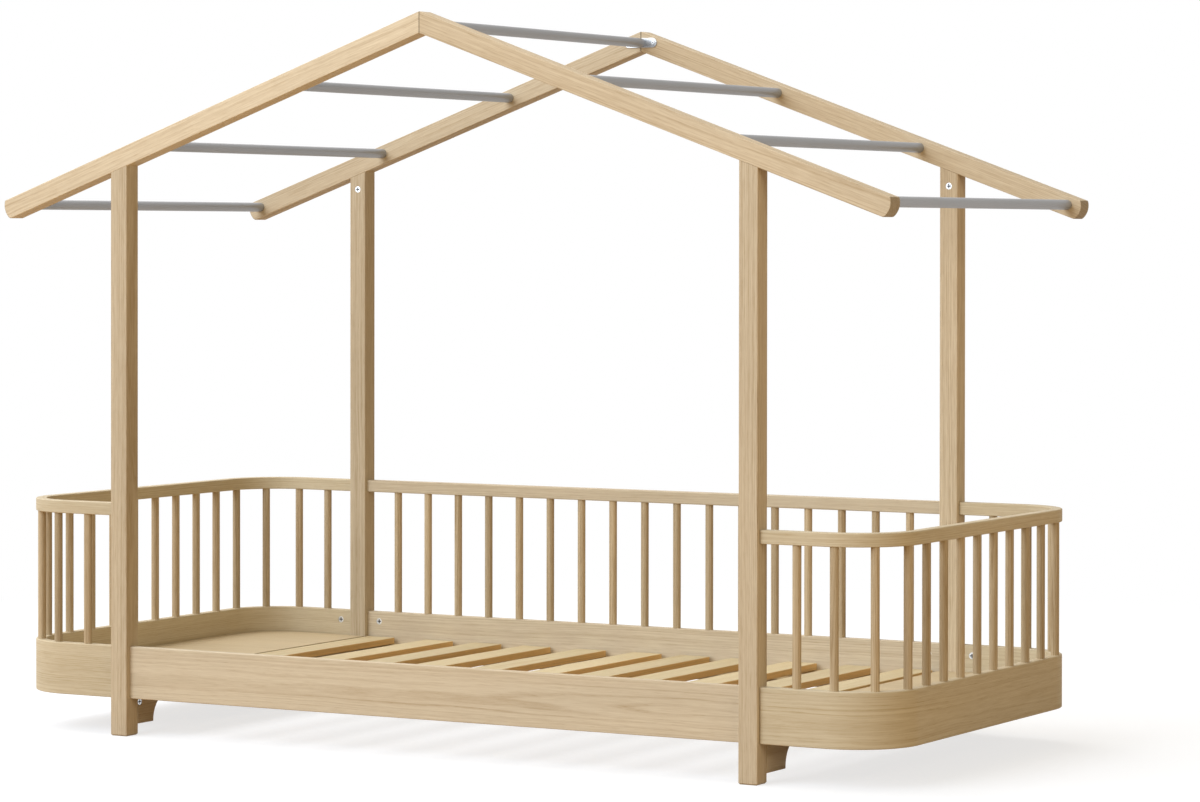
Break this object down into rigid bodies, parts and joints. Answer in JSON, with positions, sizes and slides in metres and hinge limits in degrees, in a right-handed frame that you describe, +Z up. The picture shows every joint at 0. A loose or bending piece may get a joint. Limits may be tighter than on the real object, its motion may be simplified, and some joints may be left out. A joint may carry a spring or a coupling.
{
  "type": "house frame bed",
  "caption": "Child's house frame bed: posts and gable rafters joined by roof rods, bent U-shaped ends with spindles, a guarded rear and a slatted platform.",
  "frame": {"origin": "on the floor under the middle of the bed", "axes": "+X along the bed, +Y towards the guarded rear side, +Z up"},
  "size_m": [2.1808, 0.998, 1.566],
  "materials": {
    "oak_timber": "pale oak, matt clear lacquer, grain along the length",
    "oak_bent_laminate": "bent laminated oak, matt clear lacquer, grain round the bend",
    "oak_board": "pale oak board, matt clear lacquer",
    "oak_spindle": "turned oak, matt clear lacquer",
    "slat_wood": "planed pale softwood, unlacquered",
    "platform_panel": "pale veneered panel, matt",
    "ledge_wood": "planed softwood batten",
    "rod_lacquer": "satin grey lacquer on steel tube",
    "zinc_steel": "bright zinc plate"
  },
  "bodies": {
    "root": {"cross_board_bolts": "zinc_steel", "cross_board_left": "oak_board", "cross_board_locks": "zinc_steel", "cross_board_right": "oak_board", "end_base_bolts": "zinc_steel", "end_base_left": "oak_bent_laminate", "end_base_locks": "zinc_steel", "end_base_right": "oak_bent_laminate", "end_cleat_left": "ledge_wood", "end_cleat_right": "ledge_wood", "end_panel_left": "platform_panel", "end_panel_right": "platform_panel", "end_rail_left": "oak_bent_laminate", "end_rail_right": "oak_bent_laminate", "end_spindles_left": "oak_spindle", "end_spindles_right": "oak_spindle", "post_front_left": "oak_timber", "post_front_right": "oak_timber", "post_rear_left": "oak_timber", "post_rear_right": "oak_timber", "rafter_front_left": "oak_timber", "rafter_front_right": "oak_timber", "rafter_rear_left": "oak_timber", "rafter_rear_right": "oak_timber", "rail_rear": "oak_board", "ridge_plate_front": "zinc_steel", "ridge_plate_rear": "zinc_steel", "ridge_plate_screws": "zinc_steel", "roof_bolts": "zinc_steel", "roof_locks": "zinc_steel", "roof_rod_left_1": "rod_lacquer", "roof_rod_left_2": "rod_lacquer", "roof_rod_left_3": "rod_lacquer", "roof_rod_ridge": "rod_lacquer", "roof_rod_right_1": "rod_lacquer", "roof_rod_right_2": "rod_lacquer", "roof_rod_right_3": "rod_lacquer", "side_panel_bolts": "zinc_steel", "side_panel_front": "oak_board", "side_panel_locks": "zinc_steel", "side_panel_rear": "oak_board", "slat_01": "slat_wood", "slat_02": "slat_wood", "slat_03": "slat_wood", "slat_04": "slat_wood", "slat_05": "slat_wood", "slat_06": "slat_wood", "slat_07": "slat_wood", "slat_08": "slat_wood", "slat_09": "slat_wood", "slat_10": "slat_wood", "slat_11": "slat_wood", "slat_ledge_front": "ledge_wood", "slat_ledge_rear": "ledge_wood", "spindles_rear": "oak_spindle"}
  },
  "joints": []
}
